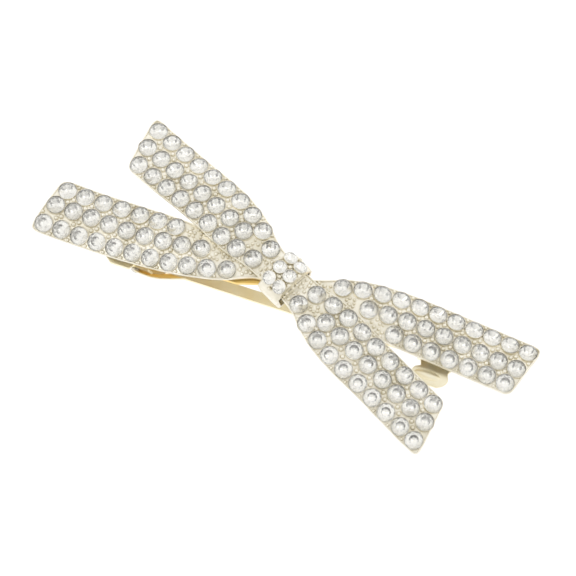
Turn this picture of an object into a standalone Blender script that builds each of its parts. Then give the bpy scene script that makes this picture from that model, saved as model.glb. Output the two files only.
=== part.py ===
"""Rhinestone bow hair clip: two stone-set ribbons and a knot, held on an arched French barrette.

X runs along the clip towards its latch, Y runs across it, and Z points up through the bow. The
origin is under the middle of the clip, on the flat underside of the closed clamp arm. Lengths are
given in millimetres and scaled to metres as each mesh is made. The bow looks the same after half a
turn about Z, so each tail is laid out once, in its ribbon's own coordinates: u runs outwards from
the knot, v runs across the ribbon, and side is +1 for the tail on the latch end and -1 for the other.
"""

import math

import bmesh
import bpy
import numpy as np

MM = 0.001

# Stones
STONE_RADIUS = 1.425
STONE_HEIGHT = 0.95
KNOT_STONE_RADIUS = 1.1
STONE_SIDES = 8
SEAT_GAP = 0.12
STRIP_THICKNESS = 0.22
STRIP_HALF_WIDTH = 0.9

# Ribbons
EDGE_MARGIN = 1.54
TIP_CHAMFER = 0.5
LONG_HEADING = math.radians(-1.3)
LONG_THICKNESS = 0.7
SHORT_HEADING = math.radians(-26.8)
SHORT_THICKNESS = 0.55

# Knot
KNOT_HALF_LENGTH = 2.1
KNOT_HALF_WIDTH = 3.95
KNOT_FOOT_HALF_WIDTH = 3.5
KNOT_CORNER = 0.65
KNOT_INNER_HALF_WIDTH = 3.4
KNOT_INNER_FOOT_HALF_WIDTH = 2.95
KNOT_SHOULDER = 8.2
KNOT_TOP = 11.0
KNOT_INNER_TOP = 8.95
KNOT_INNER_BOTTOM = 5.2
KNOT_BOTTOM = 4.85
KNOT_STONE_PITCH = 2.15

# Barrette
BAR_TOP = 6.7
BAR_ARCH_RADIUS = 75.0
BAR_END_TOP = 2.9
BAR_THICKNESS = 0.75
SPRING_THICKNESS = 0.25
SPRING_HALF_WIDTH = 1.5
SPRING_REACH = 19.0
ARC_SPACING = 1.2
END_HALF_WIDTH = 4.5
ARM_THICKNESS = 0.65
ARM_HALF_WIDTH = 2.55
ARM_TIP = 28.0
ARM_RISE = 0.45
HINGE = (-23.5, 0.0, 1.2)
HINGE_HALF_WIDTH = 3.75
CHEEK_THICKNESS = 0.45
CHEEK_RADIUS = 0.75
PIN_RADIUS = 0.52
BORE_RADIUS = 0.6

# Latch prongs, whose finger lobes differ in reach
FOLD = (25.4, 3.55, 2.45)
LOBE_MIDDLE = 25.95
LOBE_HALF_LENGTH = 3.0
NEAR_LOBE = (5.2, 7.5)
FAR_LOBE = (4.35, 4.75)


def clear_scene():
    for item in list(bpy.data.objects):
        bpy.data.objects.remove(item, do_unlink=True)


def material(name, colour, roughness, metallic):
    made = bpy.data.materials.new(name)
    made.use_nodes = True
    shader = made.node_tree.nodes["Principled BSDF"]
    shader.inputs["Base Color"].default_value = (*colour, 1.0)
    shader.inputs["Roughness"].default_value = roughness
    shader.inputs["Metallic"].default_value = metallic
    return made


def smooth_curve(points):
    """A function through (station, value) points whose slope is continuous."""
    stations, values = np.array(points, float).T
    slopes = np.gradient(values, stations)

    def value(at):
        i = int(np.clip(np.searchsorted(stations, at) - 1, 0, len(stations) - 2))
        span = stations[i + 1] - stations[i]
        t = (at - stations[i]) / span
        return (
            (2 * t**3 - 3 * t**2 + 1) * values[i]
            + (t**3 - 2 * t**2 + t) * span * slopes[i]
            + (3 * t**2 - 2 * t**3) * values[i + 1]
            + (t**3 - t**2) * span * slopes[i + 1]
        )

    return value


def mesh_object(name, points, faces, finish, hidden=False):
    """One object from points in millimetres, with its faces turned outwards."""
    mesh = bpy.data.meshes.new(name)
    mesh.from_pydata([tuple(float(c) * MM for c in p) for p in points], [], faces)
    work = bmesh.new()
    work.from_mesh(mesh)
    bmesh.ops.recalc_face_normals(work, faces=work.faces)
    work.to_mesh(mesh)
    work.free()
    mesh.materials.append(finish)
    made = bpy.data.objects.new(name, mesh)
    bpy.context.scene.collection.objects.link(made)
    made.hide_render = hidden
    made.display_type = "WIRE" if hidden else "TEXTURED"
    return made


def move_origin(part, pivot):
    """Puts a moving part's origin on its joint axis, and leaves the part where it is."""
    offset = [c * MM for c in pivot]
    for vertex in part.data.vertices:
        vertex.co = [a - b for a, b in zip(vertex.co, offset)]
    part.location = offset


def boolean(part, other, operation):
    change = part.modifiers.new(other.name, "BOOLEAN")
    change.operation = operation
    change.solver = "EXACT"
    change.object = other


def ring_faces(first, second, count):
    return [(first + i, first + (i + 1) % count, second + (i + 1) % count, second + i) for i in range(count)]


def loft(sections):
    """Points and faces of a closed solid through sections that have the same number of points."""
    count = len(sections[0])
    points = [p for section in sections for p in section]
    faces = []
    for k in range(len(sections) - 1):
        faces += ring_faces(k * count, (k + 1) * count, count)
    faces.append(tuple(range(count)))
    faces.append(tuple(range((len(sections) - 1) * count, len(sections) * count)))
    return points, faces


def plate(top_rows, drop):
    """Points and faces of a sheet: rows of points on its upper face, and drop(point) on its lower face."""
    rows, columns = len(top_rows), len(top_rows[0])
    upper = [p for row in top_rows for p in row]
    points = upper + [drop(p) for p in upper]
    lower = rows * columns
    faces = []
    for i in range(rows - 1):
        for j in range(columns - 1):
            a, b = i * columns + j, (i + 1) * columns + j
            faces.append((a, a + 1, b + 1, b))
            faces.append((lower + a, lower + b, lower + b + 1, lower + a + 1))
    rim = [i * columns for i in range(rows)]
    rim += [(rows - 1) * columns + j for j in range(1, columns)]
    rim += [i * columns + columns - 1 for i in range(rows - 2, -1, -1)]
    rim += [j for j in range(columns - 2, 0, -1)]
    for a, b in zip(rim, rim[1:] + rim[:1]):
        faces.append((a, b, lower + b, lower + a))
    return points, faces


def block(name, low, high, finish, hidden=True):
    (x0, y0, z0), (x1, y1, z1) = low, high
    sections = [[(x, y0, z0), (x, y1, z0), (x, y1, z1), (x, y0, z1)] for x in (x0, x1)]
    return mesh_object(name, *loft(sections), finish, hidden)


def round_bar(name, centre, profile, finish, hidden=False, sides=20):
    """A turned piece on an axis along Y. profile lists (y, radius)."""
    sections = []
    for y, radius in profile:
        x, z = centre[0], centre[2]
        turns = [2 * math.pi * i / sides for i in range(sides)]
        sections.append([(x + radius * math.cos(a), y, z + radius * math.sin(a)) for a in turns])
    return mesh_object(name, *loft(sections), finish, hidden)


def smooth_shade(part, degrees=35):
    part.data.shade_smooth()
    part.data.set_sharp_from_angle(angle=math.radians(degrees))


class Ribbon:
    """A ribbon plate with two tails, and the three tracks that its stones follow on each tail."""

    def __init__(self, heading, reach, skew, crest, crown, tilt, outer, middle, inner):
        self.heading = heading
        self.reach = reach
        self.skew = skew
        self.crest = smooth_curve(crest)
        self.crown = crown
        self.tilt = tilt
        self.tracks = {
            "outer": smooth_curve(outer),
            "middle": smooth_curve(middle),
            "inner": smooth_curve(inner),
        }

    def point(self, side, u, v):
        """The point on the plate's upper face."""
        cos, sin = math.cos(self.heading), math.sin(self.heading)
        x = side * (u * cos + v * sin)
        y = side * (u * sin - v * cos)
        z = self.crest(u) - self.crown * v**2 + self.tilt * u * v
        return np.array((x, y, z))

    def frame(self, side, u, v):
        """The point with unit vectors along the ribbon, across it and out of it."""
        step = 0.01
        here = self.point(side, u, v)
        along = self.point(side, u + step, v) - here
        along /= np.linalg.norm(along)
        across = self.point(side, u, v + step) - here
        normal = np.cross(along, across)
        normal *= np.sign(normal[2]) / np.linalg.norm(normal)
        return here, along, np.cross(normal, along), normal

    def edges(self, u):
        """The v of the two long edges."""
        outer, inner = self.tracks["outer"], self.tracks["inner"]
        away = math.copysign(EDGE_MARGIN, outer(self.reach) - inner(self.reach))
        return outer(u) + away, inner(u) - away

    def half_rows(self, side, count=26, columns=9):
        """Rows of points across one tail, from the knot to the slanted tip."""
        stations = list(np.linspace(0, self.reach - TIP_CHAMFER, count)) + [self.reach]
        rows = []
        for u in stations:
            outer, inner = self.edges(min(u, self.reach))
            if u == self.reach:
                inwards = TIP_CHAMFER * math.copysign(1, inner - outer)
                outer, inner = outer + inwards, inner - inwards
            slant = self.skew * np.clip(2 * u / self.reach - 1, 0, 1) ** 2
            rows.append([self.point(side, u + slant * v, v) for v in np.linspace(outer, inner, columns)])
        return rows

    def plate_rows(self):
        far_tail = self.half_rows(-1)
        near_tail = [row[::-1] for row in self.half_rows(1)]
        middle = (np.array(far_tail[0]) + np.array(near_tail[0])) / 2
        return near_tail[:0:-1] + [list(middle)] + far_tail[1:]


# The long ribbon's outer row bends out from a narrow waist at the knot.
LONG_OUTER_TRACK = [(0, 0), (2.2, 0.15), (3.6, 0.45), (5.8, -0.3), (9, -1.7)]
LONG_OUTER_TRACK += [(12, -2.45), (18, -3.25), (24, -3.37), (36, -3.07), (42, -2.8)]

LONG = Ribbon(
    heading=LONG_HEADING,
    reach=40.2,
    skew=-0.26,
    crest=[(0, 7.8), (10, 7.8), (14, 7.65), (18.5, 7.0), (23.5, 6.1), (30, 5.15), (38.5, 4.25), (42, 4.05)],
    crown=0.03,
    tilt=0.0025,
    outer=LONG_OUTER_TRACK,
    middle=[(14, 0.2), (18, -0.2), (23.5, -0.38), (32, 0), (42, 0.5)],
    inner=[(0, 0), (2.2, 0.15), (4.5, 0.45), (12, 1.7), (19, 2.48), (26, 2.72), (32, 2.86), (42, 3.3)],
)
SHORT = Ribbon(
    heading=SHORT_HEADING,
    reach=32.8,
    skew=0.34,
    crest=[(0, 8.65), (10, 8.65), (14, 8.5), (19, 7.85), (25, 6.65), (31, 5.65), (36, 5.3)],
    crown=0.02,
    tilt=0.0,
    outer=[(0, 1.3), (3, 1.3), (4.8, 1.6), (7.8, 2.86), (11, 3.57), (23, 3.7), (36, 3.5)],
    middle=[(9, 0.7), (19, 0.65), (36, 0.25)],
    inner=[(0, -1.3), (3, -1.3), (5.6, -1.45), (8.6, -2.05), (18, -2.2), (30, -2.6), (36, -2.7)],
)

# Each row's first and last stone stations, and how many stones it has.
ROWS = {
    "long": (LONG, {"outer": (9.0, 39.3, 11), "middle": (14.0, 38.5, 9), "inner": (19.0, 37.6, 7)}),
    "short": (SHORT, {"outer": (4.8, 32.3, 10), "middle": (9.9, 31.4, 8), "inner": (5.6, 30.2, 9)}),
}


def ribbon_plate(name, ribbon, thickness, finish):
    points, faces = plate(ribbon.plate_rows(), lambda p: (p[0], p[1], p[2] - thickness))
    part = mesh_object(name, points, faces, finish)
    smooth_shade(part)


def stone(centre, along, across, normal, radius):
    """One cut stone as rings: its seat, its girdle and its table."""
    rings = [(0.85, 0.2), (1.0, 0.5), (0.6, STONE_HEIGHT)]
    sections = []
    for share, height in rings:
        turns = [2 * math.pi * (i + 0.5) / STONE_SIDES for i in range(STONE_SIDES)]
        sections.append(
            [
                centre + normal * height + radius * share * (along * math.cos(a) + across * math.sin(a))
                for a in turns
            ]
        )
    return loft(sections)


def join_shapes(shapes):
    points, faces = [], []
    for more_points, more_faces in shapes:
        faces += [tuple(i + len(points) for i in face) for face in more_faces]
        points += more_points
    return points, faces


def stone_set(name, frames, radius, finish):
    """A row of stones on the strip of adhesive that holds it, as one solid."""
    sections = []
    for here, _, across, normal in frames["strip"]:
        low = here + normal * SEAT_GAP
        high = here + normal * (SEAT_GAP + STRIP_THICKNESS)
        side = across * STRIP_HALF_WIDTH
        sections.append([low - side, low + side, high + side, high - side])
    part = mesh_object(name, *loft(sections), finish)
    shapes = [stone(*frame, radius) for frame in frames["stones"]]
    stones = mesh_object(name + "_crowns", *join_shapes(shapes), finish, hidden=True)
    boolean(part, stones, "UNION")


def ribbon_stones(finish):
    for ribbon_name, (ribbon, rows) in ROWS.items():
        for side_name, side in (("left", -1), ("right", 1)):
            for row_name, (first, last, count) in rows.items():
                track = ribbon.tracks[row_name]
                strip = [(u, track(u)) for u in np.linspace(first - 0.6, last + 0.6, 2 * count)]
                stones = [(u, track(u)) for u in np.linspace(first, last, count)]
                frames = {
                    "strip": [ribbon.frame(side, u, v) for u, v in strip],
                    "stones": [ribbon.frame(side, u, v) for u, v in stones],
                }
                stone_set(f"stones_{ribbon_name}_{side_name}_{row_name}", frames, STONE_RADIUS, finish)


def knot_crest(v):
    """The height of the knot's domed top across the band."""
    rise = KNOT_TOP - KNOT_SHOULDER
    return KNOT_SHOULDER + rise * math.sqrt(max(0.0, 1 - (v / KNOT_HALF_WIDTH) ** 2))


def knot_point(u, v, z):
    cos, sin = math.cos(SHORT_HEADING), math.sin(SHORT_HEADING)
    return np.array((u * cos + v * sin, u * sin - v * cos, z))


def knot_band(finish):
    """A closed band round both ribbons, the spring and the bar, open at its two ends."""
    dome = [math.pi * i / 16 for i in range(17)]
    rise = KNOT_TOP - KNOT_SHOULDER
    outer = [(KNOT_HALF_WIDTH * math.cos(a), KNOT_SHOULDER + rise * math.sin(a)) for a in dome]
    sole = KNOT_FOOT_HALF_WIDTH - 0.7 * KNOT_CORNER
    outer += [(-KNOT_FOOT_HALF_WIDTH, KNOT_BOTTOM + KNOT_CORNER), (-sole, KNOT_BOTTOM)]
    outer += [(sole, KNOT_BOTTOM), (KNOT_FOOT_HALF_WIDTH, KNOT_BOTTOM + KNOT_CORNER)]
    ends = (-KNOT_HALF_LENGTH, KNOT_HALF_LENGTH)
    sections = [[knot_point(u, v, z) for v, z in outer] for u in ends]
    part = mesh_object("knot_band", *loft(sections), finish)
    foot, half = KNOT_INNER_FOOT_HALF_WIDTH, KNOT_INNER_HALF_WIDTH
    low, high = KNOT_INNER_BOTTOM, KNOT_INNER_TOP
    inner = [(-foot, low), (foot, low), (half, high), (-half, high)]
    hole = [[knot_point(1.5 * u, v, z) for v, z in inner] for u in ends]
    boolean(part, mesh_object("knot_hole", *loft(hole), finish, hidden=True), "DIFFERENCE")
    smooth_shade(part)


def knot_frame(u, v):
    here = knot_point(u, v, knot_crest(v))
    along = knot_point(1, 0, 0)
    across = knot_point(0, 0.01, knot_crest(v + 0.01) - knot_crest(v))
    across /= np.linalg.norm(across)
    normal = np.cross(along, across)
    normal *= np.sign(normal[2])
    return here, along, across, normal


def knot_stones(finish):
    for name, place in (("far", -1), ("crest", 0), ("near", 1)):
        v = place * KNOT_STONE_PITCH
        half = KNOT_STONE_PITCH / 2
        frames = {
            "strip": [knot_frame(u, v) for u in (-half - 0.6, half + 0.6)],
            "stones": [knot_frame(u, v) for u in (-half, half)],
        }
        stone_set(f"stones_knot_{name}", frames, KNOT_STONE_RADIUS, finish)


def bar_height(x):
    """The top of the base bar: an arch that runs into flat ends."""
    sag = BAR_ARCH_RADIUS - math.sqrt(BAR_ARCH_RADIUS**2 - min(abs(x), 24) ** 2)
    return max(BAR_TOP - sag, BAR_END_TOP)


def strip_rows(outline, height, spacing):
    """Rows across a strip along X. outline lists (x, half width), and a row comes at least every spacing."""
    stations = [outline[0][0]]
    for (x0, _), (x1, _) in zip(outline, outline[1:]):
        steps = max(1, math.ceil((x1 - x0) / spacing))
        stations += list(np.linspace(x0, x1, steps + 1))[1:]
    widths = np.interp(stations, *np.array(outline).T)
    return [[(x, -w, height(x)), (x, w, height(x))] for x, w in zip(stations, widths)]


def base_bar(finish):
    wide = END_HALF_WIDTH
    outline = [(-29.3, 3.0), (-27.4, wide), (-24.3, wide), (-23.6, 2.5), (-7, 2.5), (-3.5, 1.5), (3.5, 1.5)]
    outline += [(7, 2.5), (22.6, 2.5), (23.2, 3.0), (28.4, 3.0), (29.2, 2.4)]
    rows = strip_rows(outline, bar_height, ARC_SPACING)
    part = mesh_object("base_bar", *plate(rows, lambda p: (p[0], p[1], p[2] - BAR_THICKNESS)), finish)
    turns = [math.radians(a) for a in range(180, 361, 20)]
    lug = [(HINGE[0] + 0.85 * math.cos(a), HINGE[2] + 0.85 * math.sin(a)) for a in turns]
    top = BAR_END_TOP - BAR_THICKNESS / 2
    lug += [(HINGE[0] + 0.85, top), (HINGE[0] - 0.85, top)]
    for side_name, y0, y1 in (("far", 1.2, 1.8), ("near", -1.8, -1.2)):
        sections = [[(x, y, z) for x, z in lug] for y in (y0, y1)]
        boolean(part, mesh_object(f"hinge_lug_{side_name}", *loft(sections), finish, hidden=True), "UNION")
    bore = round_bar("lug_bore", HINGE, [(-2, BORE_RADIUS), (2, BORE_RADIUS)], finish, hidden=True)
    boolean(part, bore, "DIFFERENCE")
    pocket_floor = BAR_END_TOP - 0.45
    for side_name, side in (("far", 1), ("near", -1)):
        y0, y1 = sorted((side * (wide - 0.95), side * (wide - 0.3)))
        pocket = block(f"end_pocket_{side_name}", (-27.0, y0, pocket_floor), (-25.6, y1, 4), finish)
        boolean(part, pocket, "DIFFERENCE")


def tension_spring(finish):
    outline = [(-SPRING_REACH, 1.3), (-SPRING_REACH + 1, SPRING_HALF_WIDTH)]
    outline += [(SPRING_REACH - 1, SPRING_HALF_WIDTH), (SPRING_REACH, 1.3)]
    gap = BAR_THICKNESS + 0.2
    rows = strip_rows(outline, lambda x: bar_height(x) - gap, ARC_SPACING)
    mesh_object("tension_spring", *plate(rows, lambda p: (p[0], p[1], p[2] - SPRING_THICKNESS)), finish)


def arm_height(x):
    """The top of the clamp arm, whose latch end steps up over the prongs' hooks."""
    return ARM_THICKNESS + ARM_RISE * np.clip((x - 20.0) / 1.5, 0, 1)


def clamp_arm(finish):
    outline = [(-22.0, HINGE_HALF_WIDTH), (-20.6, HINGE_HALF_WIDTH), (-18.8, ARM_HALF_WIDTH)]
    outline += [(20.0, ARM_HALF_WIDTH), (21.5, ARM_HALF_WIDTH)]
    outline += [(ARM_TIP - 1.2, ARM_HALF_WIDTH), (ARM_TIP, ARM_HALF_WIDTH - 1.2)]
    rows = strip_rows(outline, arm_height, 6)
    part = mesh_object("clamp_arm", *plate(rows, lambda p: (p[0], p[1], p[2] - ARM_THICKNESS)), finish)
    turns = [math.radians(a) for a in range(60, 271, 15)]
    cheek = [(HINGE[0] + CHEEK_RADIUS * math.cos(a), HINGE[2] + CHEEK_RADIUS * math.sin(a)) for a in turns]
    cheek += [(-22.2, 0.1), (-20.7, 0.1), (-20.7, 0.55), (-21.6, 1.85)]
    helpers = []
    y_out = HINGE_HALF_WIDTH - 0.05
    y_in = y_out - CHEEK_THICKNESS
    for side_name, y0, y1 in (("far", y_in, y_out), ("near", -y_out, -y_in)):
        sections = [[(x, y, z) for x, z in cheek] for y in (y0, y1)]
        helpers.append(mesh_object(f"arm_cheek_{side_name}", *loft(sections), finish, hidden=True))
        boolean(part, helpers[-1], "UNION")
    helpers.append(round_bar("arm_bore", HINGE, [(-5, BORE_RADIUS), (5, BORE_RADIUS)], finish, hidden=True))
    boolean(part, helpers[-1], "DIFFERENCE")
    helpers.append(block("arm_slot", (-7.5, -0.75, -1), (7.5, 0.75, 2), finish))
    boolean(part, helpers[-1], "DIFFERENCE")
    for piece in [part] + helpers:
        move_origin(piece, HINGE)


def hinge_pin(finish):
    head = HINGE_HALF_WIDTH + 0.1
    profile = [(-head - 0.3, 0.55), (-head - 0.2, 0.75), (-head, 0.75), (-head, PIN_RADIUS)]
    profile += [(-y, radius) for y, radius in reversed(profile)]
    smooth_shade(round_bar("hinge_pin", HINGE, profile, finish))


def latch_prong(name, side, lobe, finish):
    """A bent leaf: hook, leg, fold, neck and rounded finger lobe, in stations from hook to lobe.

    Each station lists its start and end along X, then (y, z) on the leaf's inner and outer face.
    lobe gives the y of the lobe's root and of its tip.
    """
    root, tip = lobe
    neck = root - 0.45
    stations = [
        (23.0, 28.0, (2.3, 0.30), (2.3, 0.05)),
        (23.0, 28.0, (2.9, 0.30), (3.2, 0.05)),
        (23.0, 28.0, (2.9, 1.75), (3.25, 1.6)),
        (23.6, 29.2, (3.35, 2.6), (3.7, 2.3)),
        (24.1, 28.6, (neck, 2.85), (neck + 0.15, 2.5)),
    ]
    for share in (0, 0.2, 0.4, 0.6, 0.8, 1):
        half = LOBE_HALF_LENGTH * math.sqrt(1 - (1.3 * share - 0.45) ** 2)
        y = root + share * (tip - root)
        z = 2.9 - 0.4 * share**2
        stations.append((LOBE_MIDDLE - half, LOBE_MIDDLE + half, (y, z), (y, z - 0.32)))
    sections = []
    for start, end, inner, outer in stations:
        corners = [(start, inner), (end, inner), (end, outer), (start, outer)]
        sections.append([(x, side * y, z) for x, (y, z) in corners])
    part = mesh_object(name, *loft(sections), finish)
    move_origin(part, (FOLD[0], side * FOLD[1], FOLD[2]))


def solder_pad(name, side, finish):
    """The pad that fixes the long ribbon to the bar. Its underside follows the bar's arch."""
    top = LONG.crest(10) - LONG_THICKNESS - 0.2
    sections = []
    for x in (side * 8.0, side * 11.0):
        low = bar_height(x) + 0.15
        sections.append([(x, -1.4, low), (x, 1.4, low), (x, 1.4, top), (x, -1.4, top)])
    mesh_object(name, *loft(sections), finish)


def build():
    clear_scene()
    pale_gold = material("pale_gold_casting", (0.82, 0.76, 0.64), 0.3, 1.0)
    crystal = material("crystal_stone", (0.86, 0.86, 0.84), 0.05, 0.0)
    brass = material("brass_clip", (0.80, 0.68, 0.42), 0.25, 1.0)
    steel = material("spring_steel", (0.62, 0.60, 0.55), 0.3, 1.0)
    solder = material("solder", (0.60, 0.60, 0.60), 0.45, 1.0)
    ribbon_plate("long_ribbon", LONG, LONG_THICKNESS, pale_gold)
    ribbon_plate("short_ribbon", SHORT, SHORT_THICKNESS, pale_gold)
    knot_band(pale_gold)
    ribbon_stones(crystal)
    knot_stones(crystal)
    base_bar(brass)
    tension_spring(steel)
    clamp_arm(brass)
    hinge_pin(steel)
    latch_prong("latch_prong_far", 1, FAR_LOBE, brass)
    latch_prong("latch_prong_near", -1, NEAR_LOBE, brass)
    solder_pad("solder_pad_left", -1, solder)
    solder_pad("solder_pad_right", 1, solder)


build()
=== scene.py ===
"""The looks of the rhinestone bow hair clip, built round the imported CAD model.

Lengths are in millimetres until a mesh is made, except that the studio and the camera are in metres.
The ribbons' shapes repeat the ones in the CAD source: u runs outwards from the knot along a tail,
v runs across it, and lift is the height above the CAD plate's upper face, measured along its normal.
"""

import math
import random

import bmesh
import bpy
import numpy as np
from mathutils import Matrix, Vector
from mathutils.geometry import delaunay_2d_cdt


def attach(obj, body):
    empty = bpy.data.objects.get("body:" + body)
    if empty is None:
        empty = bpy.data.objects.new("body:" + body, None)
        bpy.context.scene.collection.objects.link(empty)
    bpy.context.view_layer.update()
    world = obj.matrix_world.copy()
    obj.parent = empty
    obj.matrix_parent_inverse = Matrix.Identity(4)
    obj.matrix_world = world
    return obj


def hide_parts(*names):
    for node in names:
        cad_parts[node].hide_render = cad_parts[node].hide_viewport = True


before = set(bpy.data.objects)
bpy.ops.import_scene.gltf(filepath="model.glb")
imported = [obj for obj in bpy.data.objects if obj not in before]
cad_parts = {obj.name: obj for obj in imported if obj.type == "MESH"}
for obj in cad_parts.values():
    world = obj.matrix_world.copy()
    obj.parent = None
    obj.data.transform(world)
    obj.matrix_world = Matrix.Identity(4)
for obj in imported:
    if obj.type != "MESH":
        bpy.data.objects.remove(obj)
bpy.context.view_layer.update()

MM = 0.001
BODY = "bow"

# Ribbons
EDGE_MARGIN = 1.58
LONG_HEADING = math.radians(-1.3)
SHORT_HEADING = math.radians(-26.8)
METAL_TOP = 0.12
EDGE_ROUND = 0.12
EDGE_STEPS = 100
TIP_STEPS = 24
EASE_PASSES = 12
LIP_WIDTH = 0.26
LIP_TOP = 0.38
TOP_SPACING = 0.8
BASE_SPACING = 1.1
SHEET_CLEARANCE = 0.35
HOLE_CLEARANCE = 0.3
HOLE_TOLERANCE = 0.99

# Stones and their seats
STONE_RADIUS = 1.44
KNOT_STONE_RADIUS = 1.12
SEAT_RADIUS = 1.1
SEAT_FLOOR = -0.42
SEAT_HOLE = 0.62
SEAT_SIDES = 28
CUP_GAP = 0.025
CUP_WALL = 0.1
WALL_FOOT = -0.1
PRONG_HEIGHT = 0.46
PRONG_BITE = 0.07
LARGEST_PRONG = 0.42
SMALLEST_HOLLOW = 0.12
LARGEST_HOLLOW = 0.8
EDGE_PRONG = 0.3
EDGE_PRONG_OFFSET = 1.12
BEAD_FOOT = 0.12
FILLER_BEAD = 0.34
FILLER_JITTER = 0.15
FILLER_ROOM = 0.7
FILLER_SPREAD = (0.8, 1.15)
FILLER_PITCH = 0.62
FILLER_HEIGHT = 0.34
GIRDLE = 0.42
GIRDLE_DEPTH = 0.05
TABLE = 1.04
TABLE_SHARE = 0.56
WAIST_SHARE = 0.78
HEART_SHARE = 0.34
CULET = -0.28
KNOT_CULET = 0.0
STONE_LEAN = 0.035
STONE_SHIFT = 0.03

# Knot, as in the CAD source
KNOT_HALF_LENGTH = 2.1
KNOT_HALF_WIDTH = 3.95
KNOT_FOOT_HALF_WIDTH = 3.5
KNOT_CORNER = 0.65
KNOT_INNER_HALF_WIDTH = 3.4
KNOT_INNER_FOOT_HALF_WIDTH = 2.95
KNOT_SHOULDER = 8.2
KNOT_TOP = 11.0
KNOT_INNER_TOP = 8.95
KNOT_INNER_BOTTOM = 5.2
KNOT_BOTTOM = 4.85
KNOT_INNER_CORNER = 0.4
KNOT_INNER_RISE = 0.3
KNOT_STONE_PITCH = 2.15

# Knot, in this model only: its rounded ends, and the beads between its stones
KNOT_ARCH_STEPS = 32
KNOT_END_DROP = 0.9
KNOT_END_TAPER = 0.04
KNOT_RING_SHARES = (0.0, 0.4, 0.65, 0.8, 0.9, 0.97, 1.0)
KNOT_BEAD = 0.36
KNOT_BEAD_HEIGHT = 0.34
KNOT_BEAD_SINK = 0.2
KNOT_BEAD_INSET = 0.12

# Barrette details that the CAD leaves out
LATCH_BEAD_MIDDLE = (25.55, -6.0, 2.72)
LATCH_BEAD_HALVES = (2.2, 0.78)
LATCH_BEAD_HEIGHT = 0.5
# This far either side of the middle, the base bar takes the deeper gold of painted shade, for the shade
# under the ribbons
PAINTED_SHADE_REACH = 23.0

# Studio and camera
VIEW_AZIMUTH = math.radians(19.02)
VIEW_ELEVATION = math.radians(70.0)
VIEW_DISTANCE = 0.79
VIEW_LENS = 314.0
AIM_RIGHT = 0.0005
AIM_UP = 0.00132

# The tent's greys run from its sides, at 0, to its top, which leans towards the camera
TENT_TOP = (0.25, -0.55, 0.8)
TENT_GREYS = ((0.0, 0.95), (0.3, 1.0), (0.72, 0.9), (0.9, 0.8))
TENT_STRENGTH = 1.12

# Metal finishes: noise scales are for each metre
DRIFT_SCALE = 260.0
DRIFT_DARK = 0.32
DRIFT_LIGHT = 0.62
BUMP_SCALE = 1.7
BUMP_DEPTH = 0.03

chance = random.Random(12)


# ---------------------------------------------------------------- materials


def new_material(name, colour, roughness, metallic=0.0):
    made = bpy.data.materials.new(name)
    made.use_nodes = True
    shader = made.node_tree.nodes["Principled BSDF"]
    shader.inputs["Base Color"].default_value = (*colour, 1.0)
    shader.inputs["Roughness"].default_value = roughness
    shader.inputs["Metallic"].default_value = metallic
    return made, made.node_tree, shader


def noise(tree, scale, detail=4.0, roughness=0.55):
    place = tree.nodes.new("ShaderNodeTexCoord")
    made = tree.nodes.new("ShaderNodeTexNoise")
    made.inputs["Scale"].default_value = scale
    made.inputs["Detail"].default_value = detail
    made.inputs["Roughness"].default_value = roughness
    tree.links.new(place.outputs["Object"], made.inputs["Vector"])
    return made.outputs["Fac"]


def ramp(tree, source, stops):
    made = tree.nodes.new("ShaderNodeValToRGB")
    while len(made.color_ramp.elements) < len(stops):
        made.color_ramp.elements.new(0.5)
    for element, (position, colour) in zip(made.color_ramp.elements, stops):
        element.position = position
        element.color = (*colour, 1.0)
    tree.links.new(source, made.inputs["Fac"])
    return made.outputs["Color"]


def spread(tree, source, low, high):
    made = tree.nodes.new("ShaderNodeMapRange")
    made.inputs["From Min"].default_value = 0.3
    made.inputs["From Max"].default_value = 0.7
    made.inputs["To Min"].default_value = low
    made.inputs["To Max"].default_value = high
    tree.links.new(source, made.inputs["Value"])
    return made.outputs["Result"]


def add_bump(tree, shader, source, strength, depth):
    made = tree.nodes.new("ShaderNodeBump")
    made.inputs["Strength"].default_value = strength
    made.inputs["Distance"].default_value = depth
    tree.links.new(source, made.inputs["Height"])
    tree.links.new(made.outputs["Normal"], shader.inputs["Normal"])


def plated_metal(name, light, dark, roughness, grain, bump, metallic=1.0):
    """Plated metal: colour drifts between two tones, and polish varies with a fine grain."""
    made, tree, shader = new_material(name, light, sum(roughness) / 2, metallic)
    drift = noise(tree, DRIFT_SCALE, 3.0)
    tone = ramp(tree, drift, [(DRIFT_DARK, dark), (DRIFT_LIGHT, light)])
    tree.links.new(tone, shader.inputs["Base Color"])
    tree.links.new(spread(tree, noise(tree, grain), *roughness), shader.inputs["Roughness"])
    add_bump(tree, shader, noise(tree, grain * BUMP_SCALE, 6.0), bump, BUMP_DEPTH * MM)
    return made


def crystal_material():
    made, _, shader = new_material("crystal", (1.0, 0.995, 0.975), 0.0)
    shader.inputs["Transmission Weight"].default_value = 1.0
    shader.inputs["IOR"].default_value = 1.49
    return made


def floor_material():
    made, _, shader = new_material("studio_floor", (0.9, 0.9, 0.9), 0.7)
    shader.inputs["Specular IOR Level"].default_value = 0.2
    shader.inputs["Emission Color"].default_value = (1.0, 1.0, 1.0, 1.0)
    shader.inputs["Emission Strength"].default_value = 0.18
    return made


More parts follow.
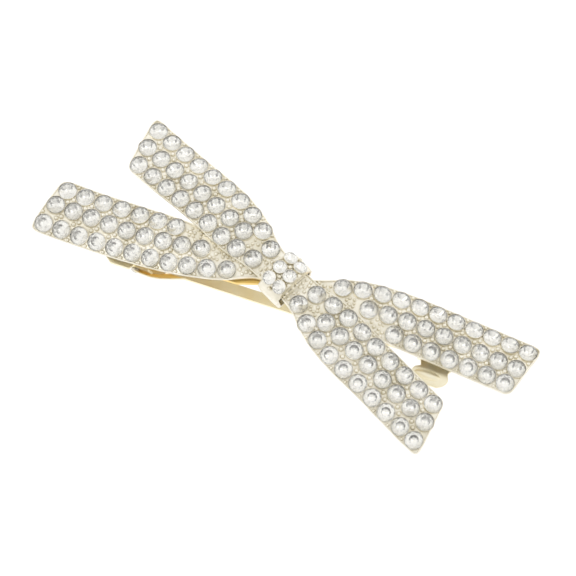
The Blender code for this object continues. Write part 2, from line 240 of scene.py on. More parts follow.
CASTING = plated_metal(
    "cast_pale_gold",
    light=(0.91, 0.87, 0.76),
    dark=(0.72, 0.67, 0.53),
    roughness=(0.22, 0.42),
    grain=900.0,
    bump=1.0,
)
# A darker, browner gold for the seats: painted shade in the recess beneath each stone
SEAT_PAINTED_SHADE = plated_metal(
    "seat_painted_shade_gold",
    light=(0.74, 0.64, 0.42),
    dark=(0.52, 0.42, 0.24),
    roughness=(0.25, 0.45),
    grain=1400.0,
    bump=0.3,
)
CLIP = plated_metal(
    "clip_gold",
    light=(0.96, 0.90, 0.71),
    dark=(0.93, 0.84, 0.58),
    roughness=(0.32, 0.46),
    grain=600.0,
    bump=0.12,
)
# A lighter copy of the clip gold: painted light that brightens the clamp arm and the hinge flanges
ARM_PAINTED_LIGHT = plated_metal(
    "arm_painted_light_gold",
    light=(0.99, 0.92, 0.70),
    dark=(0.96, 0.86, 0.58),
    roughness=(0.42, 0.55),
    grain=600.0,
    bump=0.12,
)
# A deeper, redder gold, half metallic: painted shade for the amber light in the clip's shaded hollows, on
# the base bar's middle and the hinge flanges' inner faces
PAINTED_SHADE_GOLD = plated_metal(
    "painted_shade_gold",
    light=(1.0, 0.74, 0.26),
    dark=(0.94, 0.62, 0.17),
    roughness=(0.30, 0.45),
    grain=600.0,
    bump=0.12,
    metallic=0.6,
)
STEEL = plated_metal(
    "spring_steel_finish",
    light=(0.70, 0.66, 0.58),
    dark=(0.60, 0.56, 0.48),
    roughness=(0.2, 0.35),
    grain=1200.0,
    bump=0.15,
)
SOLDER = plated_metal(
    "solder_finish",
    light=(0.62, 0.61, 0.58),
    dark=(0.45, 0.43, 0.39),
    roughness=(0.35, 0.55),
    grain=1500.0,
    bump=0.6,
)
FOIL = plated_metal(
    "silver_foil",
    light=(0.94, 0.93, 0.90),
    dark=(0.89, 0.88, 0.84),
    roughness=(0.18, 0.25),
    grain=300.0,
    bump=0.0,
)
CRYSTAL = crystal_material()


# ---------------------------------------------------------------- meshes


def new_piece(name, points, faces, materials, indices=None, smooth=None, body=BODY):
    """A piece from points in millimetres. smooth is the sharpest angle, in degrees, shaded smooth."""
    mesh = bpy.data.meshes.new(name)
    mesh.from_pydata([tuple(float(c) * MM for c in p) for p in points], [], faces)
    for finish in materials:
        mesh.materials.append(finish)
    if indices:
        mesh.polygons.foreach_set("material_index", indices)
    work = bmesh.new()
    work.from_mesh(mesh)
    bmesh.ops.recalc_face_normals(work, faces=work.faces)
    work.to_mesh(mesh)
    work.free()
    if smooth:
        mesh.shade_smooth()
        mesh.set_sharp_from_angle(angle=math.radians(smooth))
    piece = bpy.data.objects.new(name, mesh)
    bpy.context.scene.collection.objects.link(piece)
    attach(piece, body)
    return piece


def bridge(first, second):
    """Quads between two rings of point numbers of the same length."""
    count = len(first)
    return [(first[i], first[(i + 1) % count], second[(i + 1) % count], second[i]) for i in range(count)]


def closed_tube(rings):
    """Quads from each ring to the next, and from the last back to the first."""
    faces = []
    for first, second in zip(rings, rings[1:] + rings[:1]):
        faces += bridge(first, second)
    return faces


def ring_turns(count):
    """Evenly spaced angles round a circle."""
    return [2 * math.pi * i / count for i in range(count)]


def smooth_curve(points):
    """A function through (station, value) points whose slope is continuous."""
    stations, values = np.array(points, float).T
    slopes = np.gradient(values, stations)

    def value(at):
        i = int(np.clip(np.searchsorted(stations, at) - 1, 0, len(stations) - 2))
        span = stations[i + 1] - stations[i]
        t = (at - stations[i]) / span
        return (
            (2 * t**3 - 3 * t**2 + 1) * values[i]
            + (t**3 - 2 * t**2 + t) * span * slopes[i]
            + (3 * t**2 - 2 * t**3) * values[i + 1]
            + (t**3 - t**2) * span * slopes[i + 1]
        )

    return value


class Ribbon:
    """The upper face of one CAD ribbon plate, its outline, and the tracks of its stones."""

    def __init__(self, heading, reach, skew, thickness, crest, crown, tilt, outer, middle, inner, rows):
        self.cos, self.sin = math.cos(heading), math.sin(heading)
        self.reach = reach
        self.skew = skew
        self.thickness = thickness
        self.crest = smooth_curve(crest)
        self.crown = crown
        self.tilt = tilt
        self.tracks = {
            "outer": smooth_curve(outer),
            "middle": smooth_curve(middle),
            "inner": smooth_curve(inner),
        }
        self.rows = rows

    def plan(self, side, u, v):
        return side * (u * self.cos + v * self.sin), side * (u * self.sin - v * self.cos)

    def height(self, x, y):
        along, across = x * self.cos + y * self.sin, y * self.cos - x * self.sin
        u, v = abs(along), (-across if along >= 0 else across)
        return self.crest(u) - self.crown * v**2 + self.tilt * u * v

    def normal(self, x, y):
        step = 0.02
        slope_x = (self.height(x + step, y) - self.height(x - step, y)) / (2 * step)
        slope_y = (self.height(x, y + step) - self.height(x, y - step)) / (2 * step)
        made = np.array((-slope_x, -slope_y, 1.0))
        return made / np.linalg.norm(made)

    def lifted(self, x, y, lift):
        return np.array((x, y, self.height(x, y))) + self.normal(x, y) * lift

    def frame(self, side, u, v):
        """A point on the plate with unit vectors along the ribbon, across it and out of it."""
        x, y = self.plan(side, u, v)
        normal = self.normal(x, y)
        along = np.array((side * self.cos, side * self.sin, 0.0))
        along -= normal * along.dot(normal)
        along /= np.linalg.norm(along)
        return np.array((x, y, self.height(x, y))), along, np.cross(normal, along), normal

    def outwards(self, row):
        """The sense of v that points from a row of stones to the edge beside it."""
        away = math.copysign(1, self.tracks["outer"](self.reach) - self.tracks["inner"](self.reach))
        return away if row == "outer" else -away

    def edge(self, row, u):
        return self.tracks[row](u) + self.outwards(row) * EDGE_MARGIN

    def tip_station(self, u, v):
        slant = self.skew * min(max(2 * u / self.reach - 1, 0), 1) ** 2
        return u + slant * v

    def outline(self):
        """Points round the whole plate in plan, with its corners eased."""
        tail = []
        for u in np.linspace(0, self.reach, EDGE_STEPS):
            tail.append((u, self.edge("outer", u)))
        for share in np.linspace(0, 1, TIP_STEPS)[1:]:
            outer, inner = self.edge("outer", self.reach), self.edge("inner", self.reach)
            tail.append((self.reach, outer + share * (inner - outer)))
        for u in np.linspace(self.reach, 0, EDGE_STEPS)[1:-1]:
            tail.append((u, self.edge("inner", u)))
        points = [self.plan(side, self.tip_station(u, v), v) for side in (1, -1) for u, v in tail]
        points = np.array(points)
        for _ in range(EASE_PASSES):
            points = (np.roll(points, 1, axis=0) + 2 * points + np.roll(points, -1, axis=0)) / 4
        return points

    def stations(self, row):
        first, last, count = self.rows[row]
        return [(u, self.tracks[row](u)) for u in np.linspace(first, last, count)]

    def stone_frames(self):
        """(side, row) to the frames of that row's stones."""
        found = {}
        for side in (-1, 1):
            for row in self.rows:
                found[side, row] = [self.frame(side, u, v) for u, v in self.stations(row)]
        return found


# The long ribbon's outer row bends out from a narrow waist at the knot.
LONG_OUTER_TRACK = [(0, 0), (2.2, 0.15), (3.6, 0.45), (5.8, -0.3), (9, -1.7)]
LONG_OUTER_TRACK += [(12, -2.45), (18, -3.25), (24, -3.37), (36, -3.07), (42, -2.8)]
# It runs level from the knot, then droops towards its tips.
LONG_CREST = [(0, 7.8), (10, 7.8), (14, 7.65), (18.5, 7.0)]
LONG_CREST += [(23.5, 6.1), (30, 5.15), (38.5, 4.25), (42, 4.05)]

LONG = Ribbon(
    heading=LONG_HEADING,
    reach=40.2,
    skew=-0.26,
    thickness=0.7,
    crest=LONG_CREST,
    crown=0.03,
    tilt=0.0025,
    outer=LONG_OUTER_TRACK,
    middle=[(14, 0.2), (18, -0.2), (23.5, -0.38), (32, 0), (42, 0.5)],
    inner=[(0, 0), (2.2, 0.15), (4.5, 0.45), (12, 1.7), (19, 2.48), (26, 2.72), (32, 2.86), (42, 3.3)],
    rows={"outer": (9.0, 39.3, 11), "middle": (14.0, 38.5, 9), "inner": (19.0, 37.6, 7)},
)
SHORT = Ribbon(
    heading=SHORT_HEADING,
    reach=32.8,
    skew=0.34,
    thickness=0.55,
    crest=[(0, 8.65), (10, 8.65), (14, 8.5), (19, 7.85), (25, 6.65), (31, 5.65), (36, 5.3)],
    crown=0.02,
    tilt=0.0,
    outer=[(0, 1.3), (3, 1.3), (4.8, 1.6), (7.8, 2.86), (11, 3.57), (23, 3.7), (36, 3.5)],
    middle=[(9, 0.7), (19, 0.65), (36, 0.25)],
    inner=[(0, -1.3), (3, -1.3), (5.6, -1.45), (8.6, -2.05), (18, -2.2), (30, -2.6), (36, -2.7)],
    rows={"outer": (4.8, 32.3, 10), "middle": (9.9, 31.4, 8), "inner": (5.6, 30.2, 9)},
)


def inset_loop(points, distance):
    """A closed plan loop moved inwards. The loop runs either way round."""
    tangent = np.roll(points, -1, axis=0) - np.roll(points, 1, axis=0)
    tangent /= np.linalg.norm(tangent, axis=1)[:, None]
    normal = np.stack([-tangent[:, 1], tangent[:, 0]], axis=1)
    x, y = points.T
    area = np.sum(x * np.roll(y, -1) - y * np.roll(x, -1))
    return points + normal * (distance if area > 0 else -distance)


def inside(loop, x, y):
    """Which of the points (x, y) lie inside a closed loop."""
    x0, y0 = loop.T
    x1, y1 = np.roll(loop, -1, axis=0).T
    crossed = (y0[:, None] > y) != (y1[:, None] > y)
    with np.errstate(divide="ignore", invalid="ignore"):
        reach = x0[:, None] + (y - y0[:, None]) * ((x1 - x0) / (y1 - y0))[:, None]
    return (crossed & (x < reach)).sum(axis=0) % 2 == 1


def pierced_sheet(loop, centres, radius, spacing):
    """Triangles that fill a plan loop and leave round holes.

    Gives the points, the triangles, and the point numbers of each ring: the loop first, then the holes.
    """
    turns = ring_turns(SEAT_SIDES)
    points = [tuple(p) for p in loop]
    rings = [list(range(len(loop)))]
    for x, y in centres:
        rings.append(list(range(len(points), len(points) + SEAT_SIDES)))
        points += [(x + radius * math.cos(a), y + radius * math.sin(a)) for a in turns]
    low, high = loop.min(axis=0), loop.max(axis=0)
    x, y = np.meshgrid(np.arange(low[0], high[0], spacing), np.arange(low[1], high[1], spacing))
    x, y = x.ravel(), y.ravel()
    keep = inside(inset_loop(loop, SHEET_CLEARANCE), x, y)
    for cx, cy in centres:
        keep &= np.hypot(x - cx, y - cy) > radius + HOLE_CLEARANCE
    points += list(zip(x[keep], y[keep]))
    edges = [(ring[i], ring[(i + 1) % len(ring)]) for ring in rings for i in range(len(ring))]
    made, _, faces, sources, _, _ = delaunay_2d_cdt([Vector(p) for p in points], edges, [], 0, 1e-6)
    number = {source: i for i, group in enumerate(sources) for source in group}
    rings = [[number[i] for i in ring] for ring in rings]
    middles = np.array([np.mean([made[i] for i in face], axis=0) for face in faces])
    keep = inside(loop, middles[:, 0], middles[:, 1])
    for cx, cy in centres:
        keep &= np.hypot(middles[:, 0] - cx, middles[:, 1] - cy) > radius * HOLE_TOLERANCE
    return [tuple(p) for p in made], [f for f, wanted in zip(faces, keep) if wanted], rings


def ribbon_casting(name, node, ribbon):
    """A cast plate with a round seat for each stone, open behind, and eased edges."""
    outline = ribbon.outline()
    frames = [f for row in ribbon.stone_frames().values() for f in row]
    centres = [(f[0][0], f[0][1]) for f in frames]
    rim = inset_loop(outline, EDGE_ROUND)
    top, top_faces, top_rings = pierced_sheet(rim, centres, SEAT_RADIUS, TOP_SPACING)
    base, base_faces, base_rings = pierced_sheet(rim, centres, SEAT_HOLE, BASE_SPACING)
    points = [ribbon.lifted(x, y, METAL_TOP) for x, y in top]
    offset = len(points)
    points += [ribbon.lifted(x, y, -ribbon.thickness) for x, y in base]
    faces = list(top_faces) + [tuple(i + offset for i in f) for f in base_faces]
    finish = [0] * len(faces)

    def loop_of(plan, lift):
        start = len(points)
        points.extend(ribbon.lifted(x, y, lift) for x, y in plan)
        return list(range(start, len(points)))

    def join(first, second, index):
        more = bridge(first, second)
        faces.extend(more)
        finish.extend([index] * len(more))

    upper = loop_of(outline, METAL_TOP - EDGE_ROUND)
    lower = loop_of(outline, EDGE_ROUND - ribbon.thickness)
    join(top_rings[0], upper, 0)
    join(upper, lower, 0)
    join(lower, [i + offset for i in base_rings[0]], 0)
    turns = ring_turns(SEAT_SIDES)
    for (cx, cy), mouth, hole in zip(centres, top_rings[1:], base_rings[1:]):
        narrow = [(cx + SEAT_HOLE * math.cos(a), cy + SEAT_HOLE * math.sin(a)) for a in turns]
        floor = loop_of(narrow, SEAT_FLOOR)
        # The seat walls take the darker seat gold: painted shade in the recess
        join(mouth, floor, 1)
        join(floor, [i + offset for i in hole], 1)
    piece = new_piece(name, points, faces, [CASTING, SEAT_PAINTED_SHADE], finish, smooth=38)
    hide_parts(node)


def cut_stone(radius, girdle, table, culet):
    """A round brilliant cut: the facets of its crown, and those of its foiled back, as lists of points."""

    def polar(r, eighth, z):
        angle = math.pi / 4 * eighth
        return np.array((r * math.cos(angle), r * math.sin(angle), z))

    flat, waist, heart = TABLE_SHARE * radius, WAIST_SHARE * radius, HEART_SHARE * radius
    half = math.cos(math.pi / 8)
    crown_slope = (table - girdle) / (radius - flat)
    back_slope = (culet - girdle) / radius
    waist_z = girdle + crown_slope * (radius - waist * half)
    heart_z = girdle - GIRDLE_DEPTH + back_slope * (radius - heart * half)
    tables = [polar(flat, i, table) for i in range(8)]
    waists = [polar(waist, i + 0.5, waist_z) for i in range(8)]
    upper = [polar(radius, i / 2, girdle) for i in range(16)]
    lower = [polar(radius, i / 2, girdle - GIRDLE_DEPTH) for i in range(16)]
    hearts = [polar(heart, i + 0.5, heart_z) for i in range(8)]
    point = np.array((0.0, 0.0, culet - GIRDLE_DEPTH))
    crown, back = [tables], []
    for i in range(8):
        after = (i + 1) % 8
        crown.append([tables[i], waists[i], tables[after]])
        crown.append([tables[i], waists[i - 1], upper[2 * i], waists[i]])
        back.append([point, hearts[i], lower[2 * i], hearts[i - 1]])
        for first, second in ((2 * i, 2 * i + 1), (2 * i + 1, (2 * i + 2) % 16)):
            crown.append([waists[i], upper[first], upper[second]])
            back.append([upper[first], lower[first], lower[second], upper[second]])
            back.append([hearts[i], lower[second], lower[first]])
    return crown, back


def place_stones(name, node, frames, radius, culet):
    """A row of separate cut stones, each turned and leaning a little in its seat."""
    crown, back = cut_stone(radius, GIRDLE, TABLE, culet)
    points, faces, finish = [], [], []
    for here, along, across, normal in frames:
        spin = chance.uniform(0, 2 * math.pi)
        lean = [chance.gauss(0, STONE_LEAN) for _ in range(2)]
        shift = [chance.uniform(-STONE_SHIFT, STONE_SHIFT) for _ in range(2)]
        axis = normal + along * lean[0] + across * lean[1]
        axis /= np.linalg.norm(axis)
        first = along * math.cos(spin) + across * math.sin(spin)
        first -= axis * first.dot(axis)
        first /= np.linalg.norm(first)
        second = np.cross(axis, first)
        seat = here + along * shift[0] + across * shift[1]
        known = {}
        for index, group in enumerate((crown, back)):
            for facet in group:
                numbers = []
                for corner in facet:
                    key = tuple(np.round(corner, 4))
                    if key not in known:
                        known[key] = len(points)
                        points.append(seat + first * corner[0] + second * corner[1] + axis * corner[2])
                    numbers.append(known[key])
                faces.append(tuple(numbers))
                finish.append(index)
    piece = new_piece(name, points, faces, [CRYSTAL, FOIL], finish)
    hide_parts(node)


def dome(here, along, across, normal, radius, height, sides=8, rings=3):
    """A raised bead as points and faces, with its foot sunk into the metal.

    radius gives its half length along and its half width across.
    """
    points, faces = [], []
    for k in range(rings):
        angle = math.pi / 2 * k / rings
        share, z = math.cos(angle), height * math.sin(angle)
        for turn in ring_turns(sides):
            arm = along * radius[0] * math.cos(turn) + across * radius[1] * math.sin(turn)
            points.append(here + normal * z + arm * share)
    foot = [p - normal * BEAD_FOOT for p in points[:sides]]
    ring = [list(range(k * sides, (k + 1) * sides)) for k in range(rings)]
    low = list(range(rings * sides, (rings + 1) * sides))
    points += foot + [here + normal * height]
    for first, second in zip([low] + ring, ring):
        faces += bridge(first, second)
    faces += [(ring[-1][i], ring[-1][(i + 1) % sides], len(points) - 1) for i in range(sides)]
    faces.append(tuple(reversed(low)))
    return points, faces


def stone_centres(ribbon):
    return np.array([f[0][:2] for frames in ribbon.stone_frames().values() for f in frames])


def circle_middle(a, b, c):
    """The middle of the circle through three plan points, or None where they lie in a line."""
    ab, ac = b - a, c - a
    twice = 2 * (ab[0] * ac[1] - ab[1] * ac[0])
    if abs(twice) < 1e-6:
        return None
    x = ac[1] * ab.dot(ab) - ab[1] * ac.dot(ac)
    y = ab[0] * ac.dot(ac) - ac[0] * ab.dot(ab)
    return a + np.array((x, y)) / twice


def prong_spots(ribbon):
    """The middles of the hollows between stones and along the edges, as (x, y, bead radius)."""
    centres = stone_centres(ribbon)
    _, _, faces, _, _, _ = delaunay_2d_cdt([Vector(p) for p in centres], [], [], 0, 1e-6)
    spots = []
    for face in faces:
        a, b, c = centres[list(face)]
        middle = circle_middle(a, b, c)
        if middle is None:
            continue
        gap = np.linalg.norm(middle - a) - STONE_RADIUS
        if SMALLEST_HOLLOW < gap < LARGEST_HOLLOW:
            spots.append((*middle, min(gap + PRONG_BITE, LARGEST_PRONG)))
    for side in (-1, 1):
        for row in ("outer", "inner"):
            stations = ribbon.stations(row)
            for (u0, v0), (u1, v1) in zip(stations, stations[1:]):
                v = (v0 + v1) / 2 + ribbon.outwards(row) * EDGE_PRONG_OFFSET
                spots.append((*ribbon.plan(side, (u0 + u1) / 2, v), EDGE_PRONG))
    return spots


def filler_spots(ribbon, taken):
    """Small beads over the metal that stones and prongs leave bare."""
    centres = stone_centres(ribbon)
    loop = inset_loop(ribbon.outline(), FILLER_BEAD)
    low, high = loop.min(axis=0), loop.max(axis=0)
    spots = list(taken)
    for x in np.arange(low[0], high[0], FILLER_PITCH):
        for y in np.arange(low[1], high[1], FILLER_PITCH):
            px = x + chance.uniform(-FILLER_JITTER, FILLER_JITTER)
            py = y + chance.uniform(-FILLER_JITTER, FILLER_JITTER)
            nearest = np.min(np.hypot(centres[:, 0] - px, centres[:, 1] - py))
            if nearest < STONE_RADIUS + FILLER_BEAD:
                continue
            if math.hypot(px, py) < KNOT_HALF_LENGTH:
                continue
            if not inside(loop, np.array([px]), np.array([py]))[0]:
                continue
            if all(math.hypot(px - sx, py - sy) > r + FILLER_ROOM * FILLER_BEAD for sx, sy, r in spots):
                spots.append((px, py, chance.uniform(*FILLER_SPREAD) * FILLER_BEAD))
    return spots[len(taken):]


def add_shape(points, faces, shape):
    faces.extend(tuple(i + len(points) for i in face) for face in shape[1])
    points.extend(shape[0])


def stone_cup(frame_here, radius):
    """The short wall that holds a stone."""
    here, along, across, normal = frame_here
    inner, outer = radius + CUP_GAP, radius + CUP_GAP + CUP_WALL
    rim = GIRDLE + 0.02
    profile = [(outer, WALL_FOOT), (outer, rim - 0.08), (outer - 0.03, rim)]
    profile += [(inner + 0.02, rim), (inner, rim - 0.07), (inner, WALL_FOOT)]
    points, rings = [], []
    for r, z in profile:
        rings.append(list(range(len(points), len(points) + SEAT_SIDES)))
        for turn in ring_turns(SEAT_SIDES):
            points.append(here + normal * z + r * (along * math.cos(turn) + across * math.sin(turn)))
    return points, closed_tube(rings)


def edge_lip(ribbon):
    """A low rounded wall that follows the plate's outline."""
    outline = ribbon.outline()
    profile = [(0.01, WALL_FOOT), (0.01, LIP_TOP - 0.1), (0.06, LIP_TOP - 0.03), (LIP_WIDTH / 2, LIP_TOP)]
    profile += [(LIP_WIDTH - 0.05, LIP_TOP - 0.04), (LIP_WIDTH, LIP_TOP - 0.12), (LIP_WIDTH, WALL_FOOT)]
    points, rings = [], []
    for inset, lift in profile:
        plan = inset_loop(outline, inset)
        rings.append(list(range(len(points), len(points) + len(plan))))
        points += [ribbon.lifted(x, y, lift) for x, y in plan]
    return points, closed_tube(rings)


def ribbon_setting(name, ribbon):
    """The edge lip, the cups, the beads that grip the stones, and those on bare metal."""
    points, faces = [], []
    add_shape(points, faces, edge_lip(ribbon))
    for frames in ribbon.stone_frames().values():
        for each in frames:
            add_shape(points, faces, stone_cup(each, STONE_RADIUS))
    prongs = prong_spots(ribbon)
    for height, spots in ((PRONG_HEIGHT, prongs), (FILLER_HEIGHT, filler_spots(ribbon, prongs))):
        for x, y, radius in spots:
            normal = ribbon.normal(x, y)
            along = np.cross((0.0, 1.0, 0.0), normal)
            along /= np.linalg.norm(along)
            here = ribbon.lifted(x, y, METAL_TOP)
            shape = dome(here, along, np.cross(normal, along), normal, (radius, radius), height)
            add_shape(points, faces, shape)
    piece = new_piece(name, points, faces, [CASTING], smooth=50)


def dress_ribbon(ribbon_name, ribbon):
    ribbon_casting(f"{ribbon_name}_ribbon_casting", f"{ribbon_name}_ribbon", ribbon)
    ribbon_setting(f"{ribbon_name}_ribbon_setting", ribbon)
    for (side, row), frames in ribbon.stone_frames().items():
        place = f"{ribbon_name}_{'left' if side < 0 else 'right'}_{row}"
        place_stones(f"cut_stones_{place}", f"stones_{place}", frames, STONE_RADIUS, CULET)


# ---------------------------------------------------------------- knot


def knot_point(u, v, z):
    cos, sin = math.cos(SHORT_HEADING), math.sin(SHORT_HEADING)
    return np.array((u * cos + v * sin, u * sin - v * cos, z))


def knot_crest(v):
    rise = KNOT_TOP - KNOT_SHOULDER
    return KNOT_SHOULDER + rise * math.sqrt(max(0.0, 1 - (v / KNOT_HALF_WIDTH) ** 2))


def knot_profile():
    """The band's outer and inner loops, as (v, z) points that pair up."""
    rise = KNOT_TOP - KNOT_SHOULDER
    outer, inner = [], []
    for i in range(KNOT_ARCH_STEPS + 1):
        angle = math.pi * i / KNOT_ARCH_STEPS
        outer.append((KNOT_HALF_WIDTH * math.cos(angle), KNOT_SHOULDER + rise * math.sin(angle)))
        z = KNOT_INNER_TOP - KNOT_INNER_RISE * (1 - math.sin(angle))
        inner.append((KNOT_INNER_HALF_WIDTH * math.cos(angle), z))
    for side, angles in ((-1, range(180, 271, 15)), (1, range(270, 361, 15))):
        for degrees in angles:
            angle = math.radians(degrees)
            v = side * (KNOT_FOOT_HALF_WIDTH - KNOT_CORNER) + KNOT_CORNER * math.cos(angle)
            outer.append((v, KNOT_BOTTOM + KNOT_CORNER * (1 + math.sin(angle))))
            corner = side * (KNOT_INNER_FOOT_HALF_WIDTH - KNOT_INNER_CORNER)
            v = corner + KNOT_INNER_CORNER * math.cos(angle)
            inner.append((v, KNOT_INNER_BOTTOM + KNOT_INNER_CORNER * (1 + math.sin(angle))))
    return outer, inner


def knot_shell():
    """The band, whose two ends round down towards the ribbons."""
    outer, inner = knot_profile()
    count = len(outer)
    points, outer_rings, inner_rings = [], [], []
    for share in [-share for share in KNOT_RING_SHARES[:0:-1]] + list(KNOT_RING_SHARES):
        u = share * KNOT_HALF_LENGTH
        drop = KNOT_END_DROP * (1 - math.sqrt(1 - abs(share) ** 3))
        outer_rings.append(list(range(len(points), len(points) + count)))
        for v, z in outer:
            top = min(max((z - KNOT_SHOULDER) / (KNOT_TOP - KNOT_SHOULDER), 0), 1)
            points.append(knot_point(u, v * (1 - KNOT_END_TAPER * drop), z - drop * top))
        inner_rings.append(list(range(len(points), len(points) + count)))
        points += [knot_point(u, v, z) for v, z in inner]
    faces = []
    for rings in (outer_rings, inner_rings):
        for first, second in zip(rings, rings[1:]):
            faces += bridge(first, second)
    faces += bridge(outer_rings[0], inner_rings[0]) + bridge(outer_rings[-1], inner_rings[-1])
    piece = new_piece("knot_shell", points, faces, [CASTING], smooth=50)
    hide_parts("knot_band")


def knot_frame(u, v):
    here = knot_point(u, v, knot_crest(v))
    along = knot_point(1, 0, 0)
    across = knot_point(0, 0.01, knot_crest(v + 0.01) - knot_crest(v))
    across /= np.linalg.norm(across)
    normal = np.cross(along, across)
    normal *= np.sign(normal[2])
    return here, along, across, normal


def knot_trim():
    """Cups for the six stones, and the beads between them."""
    points, faces = [], []
    half = KNOT_STONE_PITCH / 2
    for place in (-1, 0, 1):
        for u in (-half, half):
            cup = stone_cup(knot_frame(u, place * KNOT_STONE_PITCH), KNOT_STONE_RADIUS - CUP_WALL)
            add_shape(points, faces, cup)
    for v in (-1.5, -0.5, 0.5, 1.5):
        for u in (-KNOT_STONE_PITCH, 0, KNOT_STONE_PITCH):
            if abs(v) == 1.5 and u != 0:
                continue
            here, along, across, normal = knot_frame(u, v * KNOT_STONE_PITCH)
            if u != 0:
                here = here - along * math.copysign(KNOT_BEAD_INSET, u)
            here = here + normal * (GIRDLE - KNOT_BEAD_SINK)
            shape = dome(here, along, across, normal, (KNOT_BEAD, KNOT_BEAD), KNOT_BEAD_HEIGHT)
            add_shape(points, faces, shape)
    piece = new_piece("knot_setting", points, faces, [CASTING], smooth=50)


def dress_knot():
    knot_shell()
    knot_trim()
    half = KNOT_STONE_PITCH / 2
    for name, place in (("far", -1), ("crest", 0), ("near", 1)):
        frames = [knot_frame(u, place * KNOT_STONE_PITCH) for u in (-half, half)]
        node = f"stones_knot_{name}"
        place_stones(f"cut_{node}", node, frames, KNOT_STONE_RADIUS, KNOT_CULET)


# ---------------------------------------------------------------- barrette


def eased_copy(node, name, finish, body, width, painted_shade_reach):
    """A copy of a CAD piece with its flat faces merged and its edges rounded.

    Faces within painted_shade_reach of the middle take a deeper gold: painted shade, the amber that the
    gold shows in the shade under the ribbons.
    """
    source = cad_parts[node]
    mesh = source.data.copy()
    mesh.name = name
    work = bmesh.new()
    work.from_mesh(mesh)
    bmesh.ops.remove_doubles(work, verts=work.verts, dist=1e-6)
    bmesh.ops.dissolve_limit(work, angle_limit=math.radians(1.5), verts=work.verts, edges=work.edges)
    work.to_mesh(mesh)
    work.free()
    mesh.materials.clear()
    mesh.materials.append(finish)
    mesh.materials.append(PAINTED_SHADE_GOLD)
    # Painted shade: faces near the middle take the deeper gold
    for face in mesh.polygons:
        face.material_index = int(abs(face.center.x) < painted_shade_reach * MM)
    piece = bpy.data.objects.new(name, mesh)
    bpy.context.scene.collection.objects.link(piece)
    ease = piece.modifiers.new("eased_edges", "BEVEL")
    ease.width = width * MM
    ease.segments = 3
    ease.limit_method = "ANGLE"
    ease.angle_limit = math.radians(30)
    mesh.shade_smooth()
    mesh.set_sharp_from_angle(angle=math.radians(40))
    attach(piece, body)
    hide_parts(node)


def latch_bead():
    """The long raised bead pressed into the near finger lobe."""
    here = np.array(LATCH_BEAD_MIDDLE)
    points, faces = dome(here, *np.eye(3), LATCH_BEAD_HALVES, LATCH_BEAD_HEIGHT, sides=32, rings=8)
    piece = new_piece("latch_bead", points, faces, [CLIP], smooth=60, body="near_prong")


def hinge_flange(name, side):
    """The arm's raised side wall at its hinge, which leans outwards and tapers along the arm.

    Each station lists x, the y of the wall's root and tip, and the height of its top.
    """
    stations = [(-23.6, 3.35, 4.35, 1.9), (-22.5, 3.35, 4.5, 1.85), (-20.8, 3.2, 4.5, 1.7)]
    stations += [(-19.4, 2.8, 4.2, 1.45), (-17.6, 2.4, 3.5, 1.1), (-15.6, 2.3, 2.6, 0.72)]
    thickness, low, ease = 0.28, 0.45, 0.12
    points = []
    for x, root, tip, top in stations:
        rim = top - ease
        section = [(root, low), (tip - thickness, rim), (tip - thickness / 2, top)]
        section += [(tip, rim), (root + thickness, low)]
        points += [(x, side * y, z) for y, z in section]
    count = len(section)
    rings = [list(range(count * k, count * (k + 1))) for k in range(len(stations))]
    faces, finish = [], []
    for first, second in zip(rings, rings[1:]):
        faces += bridge(first, second)
        # The inner face comes first, and takes the deeper gold of painted shade
        finish += [1, 0, 0, 0, 0]
    faces += [tuple(rings[0]), tuple(rings[-1])]
    piece = new_piece(name, points, faces, [ARM_PAINTED_LIGHT, PAINTED_SHADE_GOLD], finish + [0, 0], smooth=30, body="arm")


def dress_barrette():
    latch_bead()
    hinge_flange("hinge_flange_near", -1)
    hinge_flange("hinge_flange_far", 1)
    # The clamp arm takes the lighter gold of painted light; the base bar's middle takes painted shade
    for node, finish, slot, body, width in (
        ("base_bar", CLIP, "clip_gold", BODY, 0.12),
        ("clamp_arm", ARM_PAINTED_LIGHT, "clip_gold", "arm", 0.12),
        ("tension_spring", STEEL, "spring_steel", BODY, 0.06),
        ("hinge_pin", STEEL, "spring_steel", BODY, 0.04),
        ("latch_prong_far", CLIP, "clip_gold", "far_prong", 0.07),
        ("latch_prong_near", CLIP, "clip_gold", "near_prong", 0.07),
        ("solder_pad_left", SOLDER, "solder", BODY, 0.15),
        ("solder_pad_right", SOLDER, "solder", BODY, 0.15),
    ):
        # Only the base bar takes painted shade in its middle
        painted_shade_reach = PAINTED_SHADE_REACH if node == "base_bar" else 0.0
        eased_copy(node, f"{node}_finished", finish, body, width, painted_shade_reach)


# ---------------------------------------------------------------- studio


def studio_floor():
    """A pale floor, low enough for the open clamp arm to hang clear of it."""
    mesh = bpy.data.meshes.new("studio_floor")
    half, depth = 3.0, -0.06
    corners = [(-half, -half, depth), (half, -half, depth), (half, half, depth), (-half, half, depth)]
    mesh.from_pydata(corners, [], [(0, 1, 2, 3)])
    mesh.materials.append(floor_material())
    floor = bpy.data.objects.new("studio_floor", mesh)
    bpy.context.scene.collection.objects.link(floor)


def direction(azimuth, elevation):
    """A unit vector from the object. Azimuth turns from the front, -y, towards +x."""
    level = math.cos(elevation)
    return Vector((math.sin(azimuth) * level, -math.cos(azimuth) * level, math.sin(elevation)))


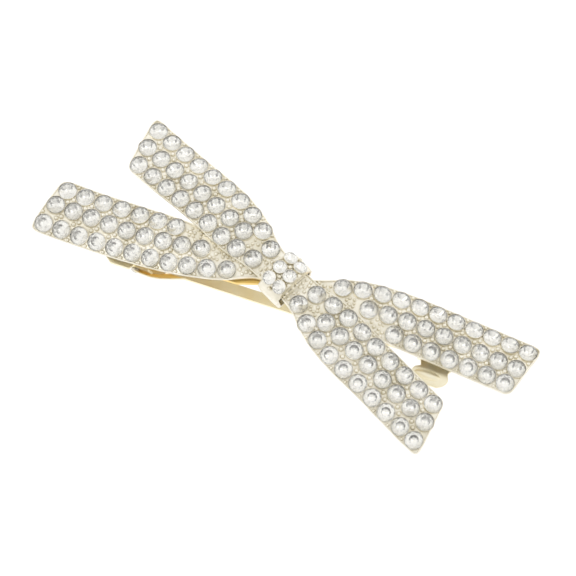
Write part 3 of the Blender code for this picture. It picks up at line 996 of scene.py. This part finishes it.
def softbox(name, azimuth, elevation, distance, width, height, radiance):
    """A rectangular lamp aimed at the object. radiance is the brightness of its face."""
    towards = direction(math.radians(azimuth), math.radians(elevation))
    data = bpy.data.lights.new(name, "AREA")
    data.shape = "RECTANGLE"
    data.size, data.size_y = width, height
    data.energy = radiance * math.pi * width * height
    lamp = bpy.data.objects.new(name, data)
    lamp.location = towards * distance
    lamp.rotation_euler = towards.to_track_quat("Z", "Y").to_euler()
    bpy.context.scene.collection.objects.link(lamp)


def studio_world():
    """A bright white tent, dimmest around the camera and a little dimmer below."""
    world = bpy.data.worlds.new("studio_tent")
    bpy.context.scene.world = world
    world.use_nodes = True
    tree = world.node_tree
    place = tree.nodes.new("ShaderNodeTexCoord")
    lean = tree.nodes.new("ShaderNodeVectorMath")
    lean.operation = "DOT_PRODUCT"
    lean.inputs[1].default_value = TENT_TOP
    tree.links.new(place.outputs["Generated"], lean.inputs[0])
    stops = [(position, (grey,) * 3) for position, grey in TENT_GREYS]
    tent = ramp(tree, lean.outputs["Value"], stops)
    background = tree.nodes["Background"]
    tree.links.new(tent, background.inputs["Color"])
    background.inputs["Strength"].default_value = TENT_STRENGTH


def studio_lights():
    softbox("key_softbox", azimuth=-70, elevation=50, distance=1.4, width=0.5, height=0.5, radiance=1.5)
    softbox("fill_softbox", azimuth=110, elevation=40, distance=1.4, width=0.6, height=0.4, radiance=1.3)


def camera():
    data = bpy.data.cameras.new("camera")
    data.lens = VIEW_LENS
    data.clip_start = 0.01
    back = direction(VIEW_AZIMUTH, VIEW_ELEVATION)
    right = Vector((math.cos(VIEW_AZIMUTH), math.sin(VIEW_AZIMUTH), 0))
    aim = right * AIM_RIGHT + back.cross(right) * AIM_UP
    made = bpy.data.objects.new("camera", data)
    made.location = aim + back * VIEW_DISTANCE
    made.rotation_euler = back.to_track_quat("Z", "Y").to_euler()
    bpy.context.scene.collection.objects.link(made)
    bpy.context.scene.camera = made


camera()
studio_floor()
studio_world()
studio_lights()
bpy.context.scene.view_settings.view_transform = "Standard"
dress_ribbon("long", LONG)
dress_ribbon("short", SHORT)
dress_knot()
dress_barrette()
